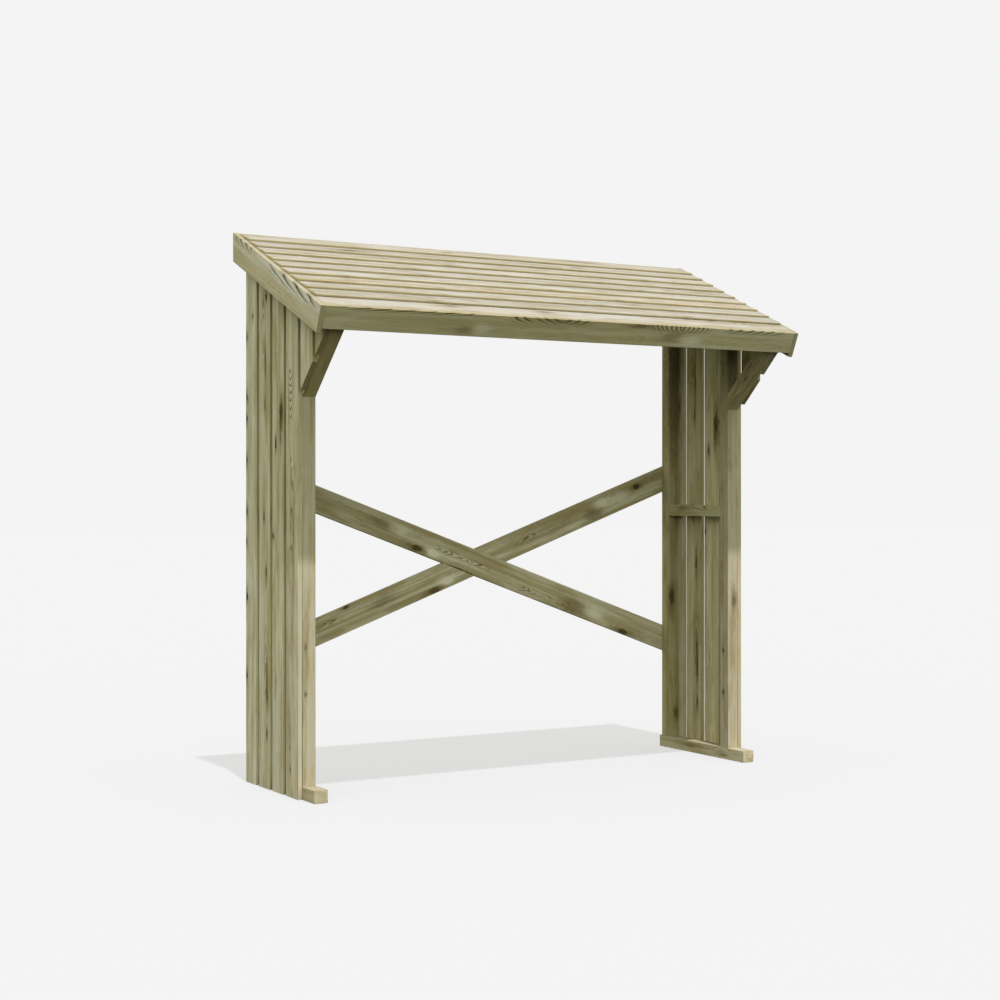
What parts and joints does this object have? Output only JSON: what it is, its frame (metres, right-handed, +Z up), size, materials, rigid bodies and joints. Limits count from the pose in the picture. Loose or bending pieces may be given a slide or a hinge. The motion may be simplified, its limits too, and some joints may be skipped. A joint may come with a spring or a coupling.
{
  "type": "wall log store",
  "caption": "Open timber log store for standing by a wall: slatted side walls on soles, knee braces, crossed back brace and a sloping roof of lapped boards.",
  "frame": {"origin": "on the ground under the middle of the whole store, roof overhangs included", "axes": "+Z up, -Y towards the open front and the low edge of the roof, +X to the right seen from the front"},
  "size_m": [1.87, 0.704, 1.8588],
  "materials": {
    "frame_timber": "planed, pressure treated",
    "slat_timber": "planed, pressure treated",
    "brace_timber": "planed, pressure treated",
    "trim_timber": "planed, pressure treated",
    "roof_timber": "sawn, pressure treated"
  },
  "bodies": {
    "root": {"back_brace_falling": "brace_timber", "back_brace_rising": "brace_timber", "back_top_rail": "brace_timber", "centre_rafter": "frame_timber", "front_fascia": "trim_timber", "left_bargeboard": "trim_timber", "left_front_post": "frame_timber", "left_knee_brace": "frame_timber", "left_mid_rail": "frame_timber", "left_rafter": "frame_timber", "left_rear_post": "frame_timber", "left_slat_1": "slat_timber", "left_slat_2": "slat_timber", "left_slat_3": "slat_timber", "left_slat_4": "slat_timber", "left_slat_5": "slat_timber", "left_slat_6": "slat_timber", "left_sole": "frame_timber", "left_top_rail": "frame_timber", "right_bargeboard": "trim_timber", "right_front_post": "frame_timber", "right_knee_brace": "frame_timber", "right_mid_rail": "frame_timber", "right_rafter": "frame_timber", "right_rear_post": "frame_timber", "right_slat_1": "slat_timber", "right_slat_2": "slat_timber", "right_slat_3": "slat_timber", "right_slat_4": "slat_timber", "right_slat_5": "slat_timber", "right_slat_6": "slat_timber", "right_sole": "frame_timber", "right_top_rail": "frame_timber", "roof_board_1": "roof_timber", "roof_board_10": "roof_timber", "roof_board_2": "roof_timber", "roof_board_3": "roof_timber", "roof_board_4": "roof_timber", "roof_board_5": "roof_timber", "roof_board_6": "roof_timber", "roof_board_7": "roof_timber", "roof_board_8": "roof_timber", "roof_board_9": "roof_timber"}
  },
  "joints": []
}
